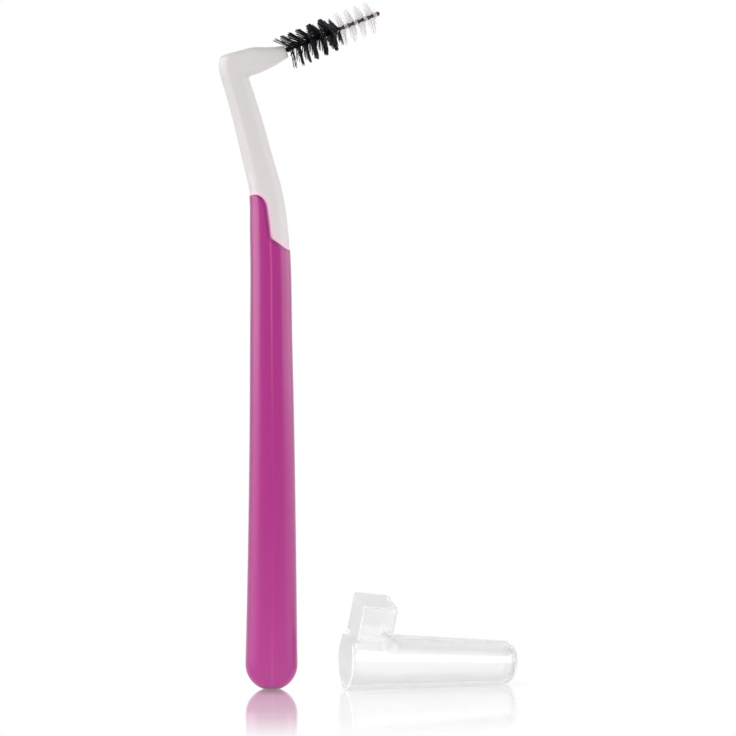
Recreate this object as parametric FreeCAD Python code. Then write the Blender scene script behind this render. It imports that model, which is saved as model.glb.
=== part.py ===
# Interdental brush with an angled head, and the clear cap that was taken off it.
# Sizes are millimetres. +Z is up, +X is the side that the head points to, and +Y points away
# from the viewer. The origin is the middle of the small flat on the handle's rounded lower end.
import FreeCAD, Part
import math
import os

V = FreeCAD.Vector
x_axis = V(1, 0, 0)
depth_axis = V(0, 1, 0)

# Handle, the outer form of the grip
grip_width_low = 9.0
grip_width_high = 6.9
grip_depth_low = 6.3
grip_depth_high = 5.4
grip_straight_height = 75.6
grip_bow = 0.2
grip_top_shift = 0.15
foot_cut = 0.2
width_fall_share = 0.88
foot_depth_share = 0.8
grip_squareness_share = 2.9
dome_angles_deg = [0, 18, 34, 48, 60]
straight_heights_share = [0.12, 0.28, 0.46, 0.64, 0.82]

# Lip, the curved upper edge of the grip. Each point of its curve is how far it lies across the
# grip and how far up the lip's rise, as shares. The grip stands proud of the core by the relief
lip_rise = 9.3
lip_relief = 0.12
lip_points_share = [
    (-0.15, 0.99), (0.0, 0.998), (0.126, 1.004), (0.225, 0.987), (0.3, 0.937), (0.362, 0.86),
    (0.392, 0.765), (0.414, 0.642), (0.437, 0.503), (0.458, 0.365), (0.49, 0.25), (0.545, 0.195),
    (0.624, 0.155), (0.823, 0.054), (0.95, 0.005), (1.15, -0.035),
]

# Core: the tang inside the grip, and its cross holes
tang_bottom = 14.0
tang_share = 0.5
key_hole_radius = 0.9
key_hole_heights_share = [0.32, 0.58, 0.84]

# Core: neck and heel. Each station says how far the neck has gone from the grip's straight top
# to the heel: in height, in shift to the left, in width, in tilt and in depth
neck_height = 109.5
neck_lean = 6.75
neck_width = 4.85
neck_depth = 4.4
neck_tilt_deg = 15.5
heel_width = 4.7
heel_round = 0.7
neck_stations_share = [
    (0.0, 0.0, 0.0, 0.0, 0.0),
    (0.16, 0.04, 0.2, 0.32, 0.15),
    (0.307, 0.12, 0.54, 0.56, 0.32),
    (0.425, 0.272, 0.68, 1.0, 0.5),
    (0.646, 0.566, 0.83, 1.0, 0.75),
    (0.847, 0.872, 0.98, 1.0, 1.0),
    (0.93, 0.985, 1.0, 1.0, 1.0),
]
stations_under_lip_count = 5

# Core: collar. Each station is its distance back from the tip, its height, its depth and how
# far its middle lies above the wire's axis
collar_length = 6.0
collar_height = 4.75
collar_depth = 4.4
collar_rise = 0.4
collar_tip_radius = 1.1
collar_tip_drop = 0.25
collar_tip_round = 0.25
collar_stations_share = [
    (1.5, 0.82, 0.95, 0.8),
    (1.0, 1.0, 1.0, 1.0),
    (0.5, 0.75, 0.8, -0.1),
]

# Wire: one wire, folded in two, its two legs twisted round each other. It leaves the collar
# this far from the heel's middle, along X and up
exit_from_heel = 9.35
exit_over_heel = 0.45
wire_angle_deg = 21.6
strand_radius = 0.16
half_turn = 1.78
wire_reach = 17.0
wire_set_depth = 7.6
bore_clearance = 0.02

# Filaments, each clamped between the legs and swept back by some degrees towards the handle
filament_radius = 0.05
clamp_clearance = 0.005
filaments_per_row = 12
black_row_count = 5
first_filament = 0.8
last_filament_margin = 0.3
tooth_at = 4.85
reach_up = 3.55
reach_down = 3.75
reach_fall_share = 0.2
lean_up_base_deg = 38.0
lean_up_tip_deg = 5.0
lean_down_deg = 3.0
lean_fades_from = 5.0
lean_fades_over = 5.0

# Cap: tapered tube over the filaments, and the channel at its mouth that takes the neck
cap_spare_length = 7.4
cap_reach_clearance = 0.5
cap_wall = 0.75
cap_length = wire_reach + collar_length + cap_spare_length
cap_mouth_radius = reach_down + cap_reach_clearance + cap_wall
cap_end_radius = 3.7
cap_end_round = 2.2
channel_side_clearance = 0.8
channel_back_clearance = 0.7
channel_wall = 0.75
channel_length = neck_width + channel_back_clearance + channel_wall
channel_depth = neck_depth + 2 * (channel_side_clearance + channel_wall)
channel_rise = 6.25
channel_setback = 0.75
channel_lean_deg = 5.0
channel_round = 0.6

# Cap: how it lies beside the handle
cap_gap = 8.23
cap_yaw_deg = 15.0
cap_roll_deg = 13.5

# Counts that belong to every curved form
outline_point_count = 32
loft_degree = 3
quarter_turn_deg = 90.0


def mixed(first, second, share):
    return first + (second - first) * share


def closed_outline(centre, across, width, depth, squareness):
    """A closed smooth curve, between an ellipse (2) and a rounded rectangle (3 and more)."""
    points = []
    for step in range(outline_point_count):
        angle = math.tau * step / outline_point_count
        along = abs(math.cos(angle)) / (width / 2)
        deep = abs(math.sin(angle)) / (depth / 2)
        radius = (along ** squareness + deep ** squareness) ** (-1 / squareness)
        out = across * math.cos(angle) + depth_axis * math.sin(angle)
        points.append(centre + out * radius)
    curve = Part.BSplineCurve()
    steps = [float(step) for step in range(outline_point_count + 1)]
    curve.interpolate(Points=points, PeriodicFlag=True, Parameters=steps)
    return Part.Wire([curve.toShape()])


def stacked(*groups):
    """One solid of smooth lofts, each of which starts at the outline where the last one ended."""
    lofts = []
    start = []
    for group in groups:
        lofts.append(Part.makeLoft(start + group, True, False, False, loft_degree))
        start = group[-1:]
    return lofts[0].multiFuse(lofts[1:]) if lofts[1:] else lofts[0]


def lines_between(points):
    return [Part.LineSegment(a, b).toShape() for a, b in zip(points, points[1:])]


def extruded_outline(edges, depth):
    """A closed outline in the XZ plane, extruded evenly to both sides of it."""
    face = Part.Face(Part.Wire(edges))
    face.translate(depth_axis * (-depth / 2))
    return face.extrude(depth_axis * depth)


def rounded_end_outlines(end, across, up, width, depth, rounding, squareness):
    """Three outlines that round off a blunt end whose last outline would be this wide and deep."""
    outlines = []
    for turn in (0, 1, 2):
        angle = math.radians(turn * quarter_turn_deg / 2)
        inset = rounding * (1 - math.cos(angle))
        centre = end - up * (rounding * (1 - math.sin(angle)))
        outlines.append(closed_outline(centre, across, width - 2 * inset, depth - 2 * inset, squareness))
    return outlines


# Stations of the handle and the neck: centre, direction across, width and depth
end_radius = grip_width_low / 2
foot_angle_deg = math.degrees(math.asin((end_radius - foot_cut) / end_radius))


def straight_station(height):
    share = (height - end_radius) / (grip_straight_height - end_radius)
    width = mixed(grip_width_low, grip_width_high, share ** width_fall_share)
    depth = mixed(grip_depth_low, grip_depth_high, share)
    shift = grip_bow * math.sin(math.pi * share) - grip_top_shift * share
    return V(shift, 0, height), x_axis, width, depth


def neck_station(station_share):
    rise_share, shift_share, width_share, tilt_share, depth_share = station_share
    height = mixed(grip_straight_height, neck_height, rise_share)
    tilt = math.radians(neck_tilt_deg * tilt_share)
    across = V(math.cos(tilt), 0, math.sin(tilt))
    width = mixed(grip_width_high, neck_width, width_share)
    depth = mixed(grip_depth_high, neck_depth, depth_share)
    return V(-mixed(grip_top_shift, neck_lean, shift_share), 0, height), across, width, depth


def handle_height(share):
    return mixed(end_radius, grip_straight_height, share)


def outline_at(station, size_share, inset):
    """The station's outline, made smaller by a share or by an even inset."""
    centre, across, width, depth = station
    width = width * size_share - 2 * inset
    depth = depth * size_share - 2 * inset
    return closed_outline(centre, across, width, depth, grip_squareness_share)


straight_stations = [straight_station(handle_height(share)) for share in straight_heights_share]
neck_stations = [neck_station(share) for share in neck_stations_share]
lip_stations = neck_stations[:stations_under_lip_count]


# Grip and core
def below_lip():
    """Everything under the lip's curve, as one block."""
    left = -grip_width_high / 2 - grip_top_shift
    points = []
    for across_share, rise_share in lip_points_share:
        height = grip_straight_height + lip_rise * rise_share
        points.append(V(left + grip_width_high * across_share, 0, height))
    curve = Part.BSplineCurve()
    curve.interpolate(Points=points)
    margin = grip_width_low
    corners = [
        points[-1], V(margin, 0, points[-1].z), V(margin, 0, -margin),
        V(-margin, 0, -margin), V(-margin, 0, points[0].z), points[0],
    ]
    return extruded_outline([curve.toShape()] + lines_between(corners), grip_depth_low + margin)


def dome_outlines():
    """The rounded lower end, from the foot's flat up to its widest outline."""
    outlines = []
    for angle_deg in [foot_angle_deg] + dome_angles_deg[::-1]:
        angle = math.radians(angle_deg)
        height = end_radius - foot_cut - end_radius * math.sin(angle)
        width = grip_width_low * math.cos(angle)
        depth = grip_depth_low * math.cos(angle) ** foot_depth_share
        outlines.append(closed_outline(V(0, 0, height), x_axis, width, depth, grip_squareness_share))
    return outlines


def make_tang():
    stations = [straight_station(tang_bottom)] + straight_stations[1:] + lip_stations[:-1]
    tang = stacked([outline_at(station, tang_share, 0) for station in stations])
    for share in key_hole_heights_share:
        centre = straight_station(mixed(tang_bottom, grip_straight_height, share))[0]
        start = centre - depth_axis * grip_depth_low
        tang = tang.cut(Part.makeCylinder(key_hole_radius, 2 * grip_depth_low, start, depth_axis))
    return tang


def make_neck():
    tilt = math.radians(neck_tilt_deg)
    across = V(math.cos(tilt), 0, math.sin(tilt))
    up = V(-math.sin(tilt), 0, math.cos(tilt))
    heel = rounded_end_outlines(
        V(-neck_lean, 0, neck_height), across, up, heel_width, neck_depth, heel_round, grip_squareness_share)
    body = [outline_at(station, 1, lip_relief) for station in straight_stations[-1:] + neck_stations]
    return stacked(body + heel[:1], heel[1:])


def make_collar():
    body = []
    for back_share, height_share, depth_share, rise_share in collar_stations_share:
        back = wire_exit - wire_along * (collar_length * back_share)
        squareness = mixed(2, grip_squareness_share, min(1, back_share))
        body.append(closed_outline(
            back + wire_up * (collar_rise * rise_share), wire_up,
            collar_height * height_share, collar_depth * depth_share, squareness))
    tip_width = 2 * collar_tip_radius
    tip = rounded_end_outlines(
        wire_exit - wire_up * collar_tip_drop, wire_up, wire_along, tip_width, tip_width, collar_tip_round, 2)
    return stacked(body + tip[:1], tip[1:])


def make_core(under_lip):
    bore_depth = wire_set_depth + strand_radius
    bore = Part.makeCylinder(
        wire_radius + bore_clearance, bore_depth + collar_length, wire_exit - wire_along * bore_depth, wire_along)
    upper = make_neck().cut(under_lip).fuse(make_collar())
    return upper.fuse(make_tang()).cut(bore)


def make_grip(under_lip, core):
    upper = [outline_at(station, 1, 0) for station in straight_stations + lip_stations]
    return stacked(dome_outlines(), upper).common(under_lip).cut(core)


# The wire's own frame: along the wire, up across it, and towards the viewer
wire_angle = math.radians(wire_angle_deg)
wire_along = V(math.cos(wire_angle), 0, math.sin(wire_angle))
wire_up = V(-math.sin(wire_angle), 0, math.cos(wire_angle))
wire_near = wire_along.cross(wire_up)
wire_exit = V(exit_from_heel - neck_lean, 0, neck_height + exit_over_heel)
strand_offset = strand_radius + filament_radius + clamp_clearance
wire_radius = strand_offset + strand_radius


def out_of_wire(angle):
    return wire_up * math.cos(angle) + wire_near * math.sin(angle)


def filament_angle(distance):
    """Which way the filaments point round the wire, zero where they stand straight up."""
    return -math.pi * (distance - tooth_at) / half_turn


def make_strand(start_angle):
    """One leg of the wire, swept along its helix from its set end to the fold."""
    length = wire_reach + wire_set_depth - strand_offset
    helix = Part.makeLongHelix(2 * half_turn, length, strand_offset, 0, True)
    slope = math.atan2(2 * half_turn, math.tau * strand_offset)
    section = Part.Circle(V(strand_offset, 0, 0), V(0, -math.cos(slope), math.sin(slope)), strand_radius)
    leg = helix.makePipeShell([Part.Wire([section.toShape()])], True, True)
    across = out_of_wire(start_angle)
    turned = FreeCAD.Rotation(across, wire_along.cross(across), wire_along, "ZXY")
    leg.Placement = FreeCAD.Placement(wire_exit - wire_along * wire_set_depth, turned)
    return leg


def make_wire():
    """Both legs, the half ring of the fold, and a ball at each end of the half ring."""
    start_angle = filament_angle(-wire_set_depth) + math.pi / 2
    fold_distance = wire_reach - strand_offset
    fold_angle = filament_angle(fold_distance) + math.pi / 2
    fold = wire_exit + wire_along * fold_distance
    across = out_of_wire(fold_angle)
    ring = Part.makeTorus(strand_offset, strand_radius, fold, wire_along.cross(across))
    outer_half = Part.makeCylinder(2 * wire_radius, 2 * wire_radius, fold, wire_along)
    joins = [Part.makeSphere(strand_radius, fold + across * side) for side in (-strand_offset, strand_offset)]
    other_leg = make_strand(start_angle + math.pi)
    return make_strand(start_angle).multiFuse([other_leg, ring.common(outer_half)] + joins)


def lean_at(distance, angle):
    """How far a filament leans back to the handle, by its place and by the way it points."""
    fade = min(1, max(0, (distance - lean_fades_from) / lean_fades_over))
    upper = mixed(lean_up_base_deg, lean_up_tip_deg, fade)
    return math.radians(mixed(lean_down_deg, upper, (1 + math.cos(angle)) / 2))


def reach_at(distance, angle):
    full = mixed(reach_down, reach_up, (1 + math.cos(angle)) / 2)
    return full * (1 - reach_fall_share * distance / wire_reach)


def make_filament(distance):
    """One filament: its two halves meet between the wire's legs, each with its own lean."""
    middle = wire_exit + wire_along * distance
    halves = []
    for side in (0, math.pi):
        angle = filament_angle(distance) + side
        lean = lean_at(distance, angle)
        direction = out_of_wire(angle) * math.cos(lean) - wire_along * math.sin(lean)
        halves.append(Part.makeCylinder(filament_radius, reach_at(distance, angle), middle, direction))
    return Part.makeSphere(filament_radius, middle).multiFuse(halves)


def filament_rows():
    """The filaments in groups of one half turn, from the collar to the tip."""
    spacing = half_turn / filaments_per_row
    count = int((wire_reach - last_filament_margin - first_filament) / spacing)
    rows = []
    for index in range(count):
        if index % filaments_per_row == 0:
            rows.append([])
        rows[-1].append(make_filament(first_filament + spacing * (index + 1 / 2)))
    return rows


# Cap, in its own frame: +X along the tube from the mouth, +Z towards the channel's open end
def cap_tube(wall, overrun):
    """The tapered tube as a solid, smaller by wall, starting that overrun before the mouth."""
    taper = (cap_mouth_radius - cap_end_radius) / cap_length
    end = cap_length - wall
    corner = cap_end_round - wall
    middle_angle = math.radians(quarter_turn_deg / 2)
    start = V(-overrun, 0, cap_mouth_radius - wall + taper * overrun)
    before = V(end - corner, 0, cap_mouth_radius - wall - taper * (end - corner))
    after = V(end, 0, before.z - corner)
    middle = V(after.x - corner * (1 - math.cos(middle_angle)), 0, before.z - corner * (1 - math.sin(middle_angle)))
    edges = lines_between([V(-overrun, 0, 0), start, before])
    edges.append(Part.Arc(before, middle, after).toShape())
    edges += lines_between([after, V(end, 0, 0), V(-overrun, 0, 0)])
    return Part.Face(Part.Wire(edges)).revolve(V(0, 0, 0), x_axis, 4 * quarter_turn_deg)


def channel_block(wall, overrun):
    """The channel's leaning block behind the mouth, smaller by wall, its back edges rounded."""
    lean = math.radians(channel_lean_deg)
    up = V(math.sin(lean), 0, math.cos(lean))
    back = V(math.cos(lean), 0, -math.sin(lean))
    front_low = V(channel_setback - overrun, 0, cap_mouth_radius)
    back_low = V(channel_setback, 0, cap_mouth_radius) + back * (channel_length - wall)
    back_foot = back_low - up * (back_low.z / math.cos(lean))
    rise = up * (channel_rise + overrun)
    corners = [V(channel_setback - overrun, 0, 0), back_foot, back_low + rise, front_low + rise, front_low]
    block = extruded_outline(lines_between(corners + corners[:1]), channel_depth - 2 * wall)
    middle = (back_foot + back_low + rise) / 2
    back_edges = [edge for edge in block.Edges if runs_through(edge, middle)]
    return block.makeFillet(channel_round - wall / 2, back_edges)


def runs_through(edge, point):
    """True for an edge whose middle has the same place in the XZ plane as the point."""
    offset = edge.CenterOfMass - point
    return math.hypot(offset.x, offset.z) < channel_wall / 2


def make_cap():
    shell = cap_tube(0, 0).fuse(channel_block(0, 0))
    return shell.cut(cap_tube(cap_wall, channel_wall)).cut(channel_block(channel_wall, channel_length))


def laid_down(cap):
    """The cap as it lies: rolled, resting along its taper, turned, with its mouth by the handle."""
    taper = math.atan2(cap_mouth_radius - cap_end_radius, cap_length)
    roll = FreeCAD.Rotation(x_axis, cap_roll_deg)
    pitch = FreeCAD.Rotation(depth_axis, math.degrees(taper))
    yaw = FreeCAD.Rotation(V(0, 0, 1), cap_yaw_deg)
    mouth = V(grip_width_low / 2 + cap_gap, 0, cap_mouth_radius * math.cos(taper))
    placed = cap.copy()
    placed.Placement = FreeCAD.Placement(mouth, yaw.multiply(pitch).multiply(roll))
    return placed


os.makedirs("parts", exist_ok=True)
under_lip = below_lip()
core = make_core(under_lip)
pieces = {
    "core": core,
    "grip": make_grip(under_lip, core),
    "wire": make_wire(),
    "cap": laid_down(make_cap()),
}
for index, row in enumerate(filament_rows()):
    if index < black_row_count:
        pieces[f"black_filaments_row_{index + 1}"] = Part.Compound(row)
    else:
        pieces[f"white_filaments_row_{index + 1 - black_row_count}"] = Part.Compound(row)

for name, shape in pieces.items():
    shape.exportStep(f"parts/{name}.step")
    print(f"{name}: {len(shape.Solids)} solids, {shape.Volume:.2f} mm3, valid {shape.isValid()}")
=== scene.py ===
# %% [markdown]
# An interdental brush with an angled head stands upright, and its clear cap lies beside it.
# The CAD frame gives every piece its place. This lesson dresses it: it lofts the handle and the
# core with soft moulded edges, grows the nylon filaments with Geometry Nodes, moulds a clear cap,
# and lights it all on a white floor.

# %% The fixed frame, and the CAD parts in it
import math
import bmesh
import bpy
import numpy as np
from mathutils import Matrix, Vector


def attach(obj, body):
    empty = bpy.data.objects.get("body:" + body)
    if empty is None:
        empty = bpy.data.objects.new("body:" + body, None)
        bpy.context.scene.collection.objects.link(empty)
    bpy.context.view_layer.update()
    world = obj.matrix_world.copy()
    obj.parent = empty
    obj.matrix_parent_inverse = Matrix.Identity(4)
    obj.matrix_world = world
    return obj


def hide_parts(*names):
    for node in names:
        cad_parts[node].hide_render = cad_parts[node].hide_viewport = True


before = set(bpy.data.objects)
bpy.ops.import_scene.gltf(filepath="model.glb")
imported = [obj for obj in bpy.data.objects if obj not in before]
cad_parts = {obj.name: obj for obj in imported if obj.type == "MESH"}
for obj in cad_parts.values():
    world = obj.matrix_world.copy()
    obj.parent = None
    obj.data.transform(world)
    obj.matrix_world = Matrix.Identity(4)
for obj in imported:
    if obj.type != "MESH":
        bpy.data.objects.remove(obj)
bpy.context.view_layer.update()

# %% [markdown]
# Every shape is drawn in millimetres, as on a workshop drawing, because voxels and roundings are
# then easy to read. A finished mesh is moved to its place and turned to metres in one step.
# Some meshes carry a number at each point, which tells their material where a painted highlight
# or painted shade goes, or how far along a filament a point lies. Most of those numbers fade in or
# out over a stretch.

# %% From millimetres to a finished piece
MM = 0.001


def in_scene(name, data):
    """A new object with this mesh, lamp or camera, linked to the scene."""
    thing = bpy.data.objects.new(name, data)
    bpy.context.scene.collection.objects.link(thing)
    return thing


def applied(thing):
    """The object's mesh as its modifiers make it. The object itself is removed."""
    mesh = bpy.data.meshes.new_from_object(thing.evaluated_get(bpy.context.evaluated_depsgraph_get()))
    bpy.data.objects.remove(thing)
    return mesh


def fade(values, start, end):
    """0 at the start and 1 at the end, in a straight line between them."""
    return np.clip((values - start) / (end - start), 0, 1)


def mark(mesh, label, values):
    """Writes one number for each point of a mesh, for its material to read."""
    mesh.attributes.new(label, "FLOAT", "POINT").data.foreach_set("value", values.astype(np.float32))


def finished(name, mesh, place, material, body):
    """A mesh in millimetres becomes a piece in metres that rides on a body."""
    mesh.transform(Matrix.Scale(MM, 4) @ place)
    mesh.materials.clear()
    mesh.materials.append(material)
    mesh.shade_smooth()
    piece = in_scene(name, mesh)
    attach(piece, body)
    print(name, len(mesh.polygons), "faces")
    return piece


# %% [markdown]
# Colours are written as the hex values that a screen shows. Shaders want linear light, so one
# function turns each of them. One more adds a node with its settings and its links, so that a
# whole material or a whole Geometry Nodes tree reads from top to bottom. The kinds of node that
# come back most have a short name.

# %% Colours and nodes
MATH, MIX, NOISE = "ShaderNodeMath", "ShaderNodeMix", "ShaderNodeTexNoise"
RANGE, RANDOM = "ShaderNodeMapRange", "FunctionNodeRandomValue"
ATTRIBUTE, PRINCIPLED = "ShaderNodeAttribute", "ShaderNodeBsdfPrincipled"
BLEND, OUTPUT = "ShaderNodeMixShader", "ShaderNodeOutputMaterial"
WHITE = (1, 1, 1, 1)


def colour(code):
    """A hex colour as linear red, green, blue and alpha."""
    shares = [int(code[i:i + 2], 16) / 255 for i in (1, 3, 5)]
    return [s / 12.92 if s <= 0.04045 else ((s + 0.055) / 1.055) ** 2.4 for s in shares] + [1.0]


def add(tree, kind, inputs=None, **settings):
    """A new node. An input is a value, another node's output, or a node, for its first output."""
    node = tree.nodes.new(kind)
    for key, value in settings.items():
        setattr(node, key, value)
    for key, value in (inputs or {}).items():
        if isinstance(value, bpy.types.Node):
            value = value.outputs[0]
        if isinstance(value, bpy.types.NodeSocket):
            tree.links.new(value, node.inputs[key])
        else:
            node.inputs[key].default_value = value
    return node


def new_material(name):
    """An empty node material, and its tree."""
    material = bpy.data.materials.new(name)
    material.use_nodes = True
    material.node_tree.nodes.clear()
    return material, material.node_tree


# %% [markdown]
# The grip is a soft elastomer, moulded over the core and dyed through in magenta. It is satin,
# not glossy, because the tool that made it was finely blasted. A very small bump breaks up its
# highlights, and a little light enters it before it comes back. Its colour turns a little lighter
# towards the foot. A painted highlight runs as a fine pale line down the front, on the crest where
# the tool's halves met. Painted shade darkens the groove beside the lip, a band along the left edge
# and the foot where it meets the table. The mesh says where the line and the shade are.

# %% Magenta elastomer
elastomer, tree = new_material("overmoulded_elastomer_magenta")
place = add(tree, "ShaderNodeTexCoord").outputs["Object"]
cloud = add(tree, NOISE, {"Vector": place, "Scale": 1 / (9 * MM), "Detail": 3.0})
height = add(tree, "ShaderNodeSeparateXYZ", {"Vector": place})
# The colour turns a little lighter towards the foot.
low = add(tree, RANGE, {"Value": height.outputs["Z"], "From Min": 70 * MM, "From Max": 0.0})
lighter_to_foot = add(tree, MIX, {"Factor": low, 6: colour("#A3257B"), 7: colour("#B2268A")}, data_type="RGBA")
tint = add(tree, MIX, {
    "Factor": cloud.outputs["Fac"], 6: lighter_to_foot.outputs[2], 7: colour("#AC2683")}, data_type="RGBA")
# Painted highlight: a fine pale line down the front crest.
painted_front_highlight = add(tree, ATTRIBUTE, attribute_name="painted_front_highlight")
with_front_highlight = add(tree, MIX, {
    "Factor": painted_front_highlight.outputs["Fac"], 6: tint.outputs[2], 7: colour("#C84A9C")}, data_type="RGBA")
# Painted shade: deeper colour in the groove by the lip, along the left edge and at the foot.
painted_shade = add(tree, ATTRIBUTE, attribute_name="painted_shade")
with_painted_shade = add(tree, MIX, {
    "Factor": painted_shade.outputs["Fac"], 6: with_front_highlight.outputs[2], 7: colour("#6A1C54")}, data_type="RGBA")
blast = add(tree, NOISE, {"Vector": place, "Scale": 1 / (0.25 * MM), "Detail": 4.0, "Roughness": 0.6})
bump = add(tree, "ShaderNodeBump", {"Height": blast.outputs["Fac"], "Strength": 0.12, "Distance": 0.02 * MM})
surface = add(tree, PRINCIPLED, {
    "Base Color": with_painted_shade.outputs[2], "Roughness": 0.3, "IOR": 1.5, "Normal": bump.outputs["Normal"],
    "Coat Weight": 0.3, "Coat Roughness": 0.1, "Subsurface Weight": 0.08,
    "Subsurface Radius": (1.2 * MM, 0.3 * MM, 0.8 * MM), "Subsurface Scale": 1.0})
add(tree, OUTPUT, {"Surface": surface.outputs["BSDF"]})
print(elastomer.name)

# %% [markdown]
# The core is white polypropylene. It is glossier than the grip, slightly warm, and cloudy: light
# goes a millimetre or so into it. It turns a little greyer up the neck. Close to the grip's lip a
# pale pink is painted on, a painted highlight tinted by the magenta beside it, so the mesh says how
# near each point is to the lip.

# %% White polypropylene
polypropylene, tree = new_material("moulded_polypropylene_white")
place = add(tree, "ShaderNodeTexCoord").outputs["Object"]
near_lip = add(tree, ATTRIBUTE, attribute_name="near_lip")
cloud = add(tree, NOISE, {"Vector": place, "Scale": 1 / (6 * MM), "Detail": 2.0})
height = add(tree, "ShaderNodeSeparateXYZ", {"Vector": place})
# The core turns a little greyer up the neck, towards the heel.
greyer_up_neck = add(tree, RANGE, {"Value": height.outputs["Z"], "From Min": 80 * MM, "From Max": 104 * MM})
body = add(tree, MIX, {"Factor": greyer_up_neck, 6: colour("#DAD4D4"), 7: colour("#CDC9C8")}, data_type="RGBA")
white = add(tree, MIX, {
    "Factor": cloud.outputs["Fac"], 6: body.outputs[2], 7: colour("#D2CECD")}, data_type="RGBA")
# Painted pink highlight close to the grip's lip, tinted by the magenta.
painted_pink_highlight = add(tree, MIX, {
    "Factor": near_lip.outputs["Fac"], 6: white.outputs[2], 7: colour("#FFC4E2")}, data_type="RGBA")
flow = add(tree, NOISE, {"Vector": place, "Scale": 1 / (1.6 * MM), "Detail": 2.0})
bump = add(tree, "ShaderNodeBump", {"Height": flow.outputs["Fac"], "Strength": 0.08, "Distance": 0.03 * MM})
surface = add(tree, PRINCIPLED, {
    "Base Color": painted_pink_highlight.outputs[2], "Roughness": 0.3, "IOR": 1.49, "Normal": bump.outputs["Normal"],
    "Subsurface Weight": 0.15, "Subsurface Radius": (1.0 * MM, 0.9 * MM, 0.8 * MM), "Subsurface Scale": 1.0})
add(tree, OUTPUT, {"Surface": surface.outputs["BSDF"]})
print(polypropylene.name)

# %% [markdown]
# The wire is drawn stainless steel, darkened where the black filaments hide it from the light.
# Drawing leaves fine lines along it. They are too fine to show, so the noise is a little coarser.
# In the outer part, the nylon between the two legs shows as a pale spot at each half turn. The
# spots and the filaments follow one twist: a tooth stands at a known distance from the collar,
# and the next ones follow it by half a turn.

# %% Where the wire leaves the collar, and its twist
WIRE_EXIT = np.array([2.6, 0, 109.95])
WIRE_ANGLE = math.radians(21.6)
WIRE_ALONG = np.array([math.cos(WIRE_ANGLE), 0, math.sin(WIRE_ANGLE)])
WIRE_UP = np.array([-math.sin(WIRE_ANGLE), 0, math.cos(WIRE_ANGLE)])
HALF_TURN = 1.78
TOOTH_AT = 4.85

# %% Drawn steel
steel, tree = new_material("drawn_stainless_steel_dark")
place = add(tree, "ShaderNodeTexCoord").outputs["Object"]
lines = add(tree, NOISE, {"Vector": place, "Scale": 1 / (0.12 * MM), "Detail": 2.0})
rough = add(tree, RANGE, {"Value": lines.outputs["Fac"], "To Min": 0.3, "To Max": 0.48})
shade = add(tree, MIX, {
    "Factor": lines.outputs["Fac"], 6: colour("#463E41"), 7: colour("#5C5356")}, data_type="RGBA")
across = add(tree, "ShaderNodeSeparateXYZ", {"Vector": place})
open_part = add(tree, RANGE, {"Value": across.outputs["X"], "From Min": 11.2 * MM, "From Max": 12 * MM})
shaded = add(tree, MIX, {"Factor": open_part, 6: colour("#131013"), 7: shade.outputs[2]}, data_type="RGBA")
drawn = add(tree, PRINCIPLED, {
    "Base Color": shaded.outputs[2], "Metallic": 1.0, "Roughness": rough.outputs["Result"]})
from_exit = add(tree, "ShaderNodeVectorMath", {0: place, 1: tuple(WIRE_EXIT * MM)}, operation="SUBTRACT")
down_wire = add(tree, "ShaderNodeVectorMath", {0: from_exit, 1: tuple(WIRE_ALONG)}, operation="DOT_PRODUCT")
turn = add(tree, MATH, {0: down_wire.outputs["Value"], 1: -TOOTH_AT * MM}, operation="ADD")
turn = add(tree, MATH, {0: turn, 1: math.tau / (HALF_TURN * MM)}, operation="MULTIPLY")
turn = add(tree, MATH, {0: turn}, operation="COSINE")
gap = add(tree, RANGE, {"Value": turn, "From Min": -0.35, "From Max": -0.7})
gap = add(tree, MATH, {0: gap, 1: open_part}, operation="MULTIPLY")
nylon = add(tree, PRINCIPLED, {"Base Color": colour("#DCD0D5"), "Roughness": 0.4})
surface = add(tree, BLEND, {0: gap, 1: drawn, 2: nylon})
add(tree, OUTPUT, {"Surface": surface})
print(steel.name)

# %% [markdown]
# The wire keeps the mesh of its solid. The photograph shows its dashes a little thicker than
# that, so the mesh is welded and every point moves out, square to the surface.

# %% The wire's mesh
WELD = 0.001
WIRE_SWELL = 0.07
wire_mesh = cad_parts["wire"].data.copy()
wire_mesh.transform(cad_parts["wire"].matrix_world)
wire_mesh.transform(Matrix.Scale(1 / MM, 4))
welded = bmesh.new()
welded.from_mesh(wire_mesh)
bmesh.ops.remove_doubles(welded, verts=welded.verts, dist=WELD)
welded.normal_update()
swollen = [v.co + v.normal * WIRE_SWELL for v in welded.verts]
for vertex, spot in zip(welded.verts, swollen):
    vertex.co = spot
welded.to_mesh(wire_mesh)
welded.free()
wire = finished("twisted_wire", wire_mesh, Matrix.Identity(4), steel, "brush")
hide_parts("wire")

# %% [markdown]
# The filaments are extruded nylon. The inner ones are dyed black. The outer ones are natural
# nylon, which is nearly clear, so a thin filament of it all but vanishes on a white ground. Its
# root is clearer still, because there it lies over the wire, which the photograph shows plainly.
# Each filament says how far along it a point is, from 0 at the wire to 1 at its tip.

# %% Black nylon
black_nylon, tree = new_material("extruded_nylon_black")
along = add(tree, ATTRIBUTE, attribute_name="along")
shade = add(tree, MIX, {
    "Factor": along.outputs["Fac"], 6: colour("#100C12"), 7: colour("#1E1822")}, data_type="RGBA")
surface = add(tree, PRINCIPLED, {
    "Base Color": shade.outputs[2], "Roughness": 0.5, "IOR": 1.53, "Specular IOR Level": 0.25})
add(tree, OUTPUT, {"Surface": surface.outputs["BSDF"]})

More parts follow.
